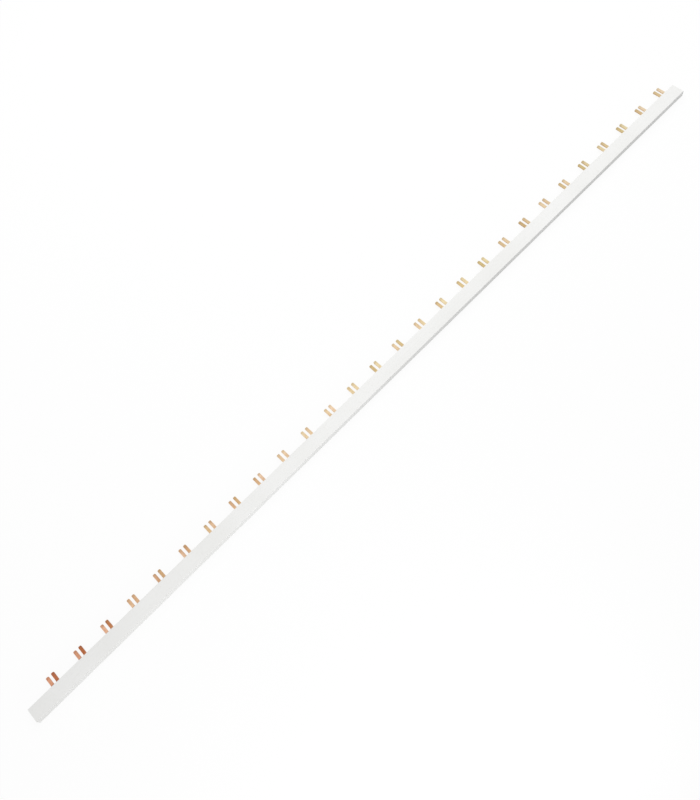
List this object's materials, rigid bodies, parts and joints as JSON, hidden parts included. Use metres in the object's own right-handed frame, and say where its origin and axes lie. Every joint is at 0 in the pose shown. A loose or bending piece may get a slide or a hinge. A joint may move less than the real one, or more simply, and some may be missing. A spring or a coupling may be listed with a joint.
{
  "type": "comb busbar",
  "caption": "Long white insulating profile holding a stamped copper comb, whose slotted forks stand out along one edge to link a row of breaker screw terminals.",
  "frame": {"origin": "middle of the whole outline, on the back face that the bar lies on", "axes": "+X along the bar, from the end with the longer blank stretch; +Y the way the forks point; +Z from the back face up to the front face"},
  "size_m": [1.012, 0.0282, 0.008],
  "materials": {
    "white_plastic": "smooth extruded satin white",
    "copper": "bright rolled copper with sheared edges"
  },
  "bodies": {
    "root": {"insulating_profile": "white_plastic", "copper_comb": "copper"}
  },
  "joints": []
}
